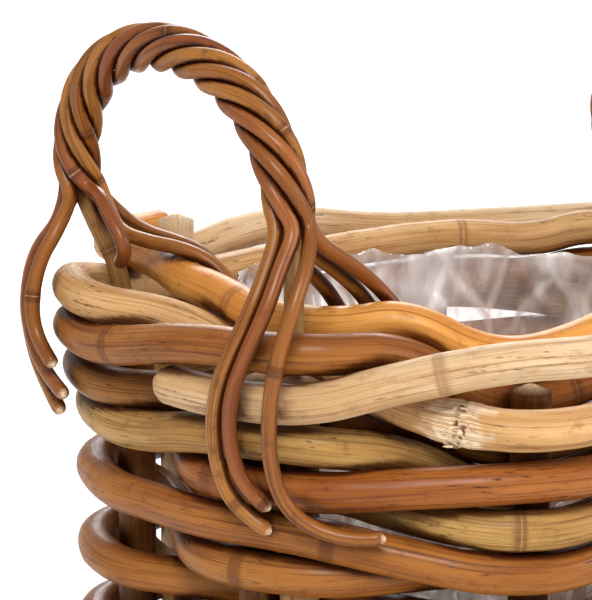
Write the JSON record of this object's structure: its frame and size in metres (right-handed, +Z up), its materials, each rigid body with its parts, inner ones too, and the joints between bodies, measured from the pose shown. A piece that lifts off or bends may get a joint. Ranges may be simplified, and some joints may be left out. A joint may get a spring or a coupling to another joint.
{
  "type": "wicker log basket",
  "caption": "Stout oval basket woven from thick rattan canes round upright stakes, with roped bow handles and a clear film liner.",
  "frame": {"origin": "middle of the middle runner's underside, on the floor", "axes": "+Z up; the two handles stand at the -X and +X ends, and the long straight sides face -Y and +Y"},
  "size_m": [0.5674, 0.4857, 0.545],
  "materials": {
    "rattan_honey": "honey-brown rattan cane with a satin varnish",
    "rattan_pale": "pale straw rattan cane, dry satin",
    "rattan_dark": "brown rattan cane with a satin varnish",
    "stake_rattan": "brown rattan stake, satin",
    "base_wood": "plain sawn and peeled wood, matt",
    "handle_strand": "thin whole rattan, glossy varnish",
    "clear_film": "clear crinkled film",
    "steel": "plain steel wire nail"
  },
  "bodies": {
    "root": {"base_hoop_inner": "rattan_honey", "base_hoop_outer": "rattan_honey", "base_runner_left": "base_wood", "base_runner_middle": "base_wood", "base_runner_right": "base_wood", "border_cane_bent": "rattan_pale", "border_cane_low": "rattan_dark", "border_cane_pale": "rattan_pale", "border_cane_tan": "rattan_honey", "border_cane_top": "rattan_honey", "film_liner": "clear_film", "floor_stick_1": "base_wood", "floor_stick_2": "base_wood", "floor_stick_3": "base_wood", "floor_stick_4": "base_wood", "floor_stick_5": "base_wood", "floor_stick_6": "base_wood", "floor_stick_7": "base_wood", "hoop_nails": "steel", "left_handle_rod": "stake_rattan", "left_handle_strand_1": "handle_strand", "left_handle_strand_2": "handle_strand", "left_handle_strand_3": "handle_strand", "left_handle_strand_4": "handle_strand", "left_handle_strand_5": "handle_strand", "left_handle_strand_6": "handle_strand", "liner_tacks": "steel", "packing_cane": "rattan_pale", "right_handle_rod": "stake_rattan", "right_handle_strand_1": "handle_strand", "right_handle_strand_2": "handle_strand", "right_handle_strand_3": "handle_strand", "right_handle_strand_4": "handle_strand", "right_handle_strand_5": "handle_strand", "right_handle_strand_6": "handle_strand", "side_row_1": "rattan_honey", "side_row_10": "rattan_honey", "side_row_11": "rattan_honey", "side_row_2": "rattan_honey", "side_row_3": "rattan_honey", "side_row_4": "rattan_honey", "side_row_5": "rattan_honey", "side_row_6": "rattan_honey", "side_row_7": "rattan_honey", "side_row_8": "rattan_honey", "side_row_9": "rattan_honey", "stake_1": "stake_rattan", "stake_2": "stake_rattan", "stake_3": "stake_rattan", "stake_4": "stake_rattan", "stake_5": "stake_rattan", "stake_5_handle": "stake_rattan", "stake_6": "stake_rattan", "stake_7": "stake_rattan", "stake_8": "stake_rattan", "stake_8_handle": "stake_rattan"}
  },
  "joints": []
}
